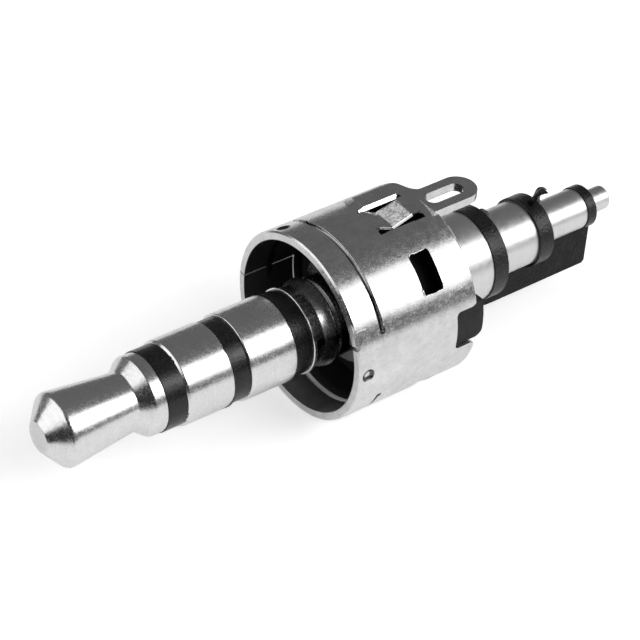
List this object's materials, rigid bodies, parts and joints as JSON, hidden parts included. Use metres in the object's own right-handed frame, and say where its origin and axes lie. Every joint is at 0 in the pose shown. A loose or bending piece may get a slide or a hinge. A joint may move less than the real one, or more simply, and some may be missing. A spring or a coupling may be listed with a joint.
{
  "type": "audio jack plug insert",
  "caption": "Multi-pole audio plug insert: turned coaxial contacts with moulded insulating rings and fin, held in a slotted rolled metal shell with a flat solder lug.",
  "frame": {"origin": "on the plug's axis, in the plane of the shell's open front rim", "axes": "-X along the plug towards its tip, +X towards the solder end, +Z towards the side with the flat solder lug, -Y towards the shell's key notch"},
  "size_m": [0.0272, 0.0076, 0.0076],
  "materials": {
    "plated_metal": "nickel-plated turned brass, glossy with fine turning lines",
    "plated_sheet": "nickel-plated sheet metal, glossy with faint rolling grain",
    "black_insulation": "satin black moulded plastic",
    "black_carrier": "flat black moulded plastic"
  },
  "bodies": {
    "root": {"tip_contact": "plated_metal", "first_ring_contact": "plated_metal", "second_ring_contact": "plated_metal", "sleeve_contact": "plated_metal", "insulator": "black_insulation", "carrier": "black_carrier", "shell": "plated_sheet"}
  },
  "joints": []
}
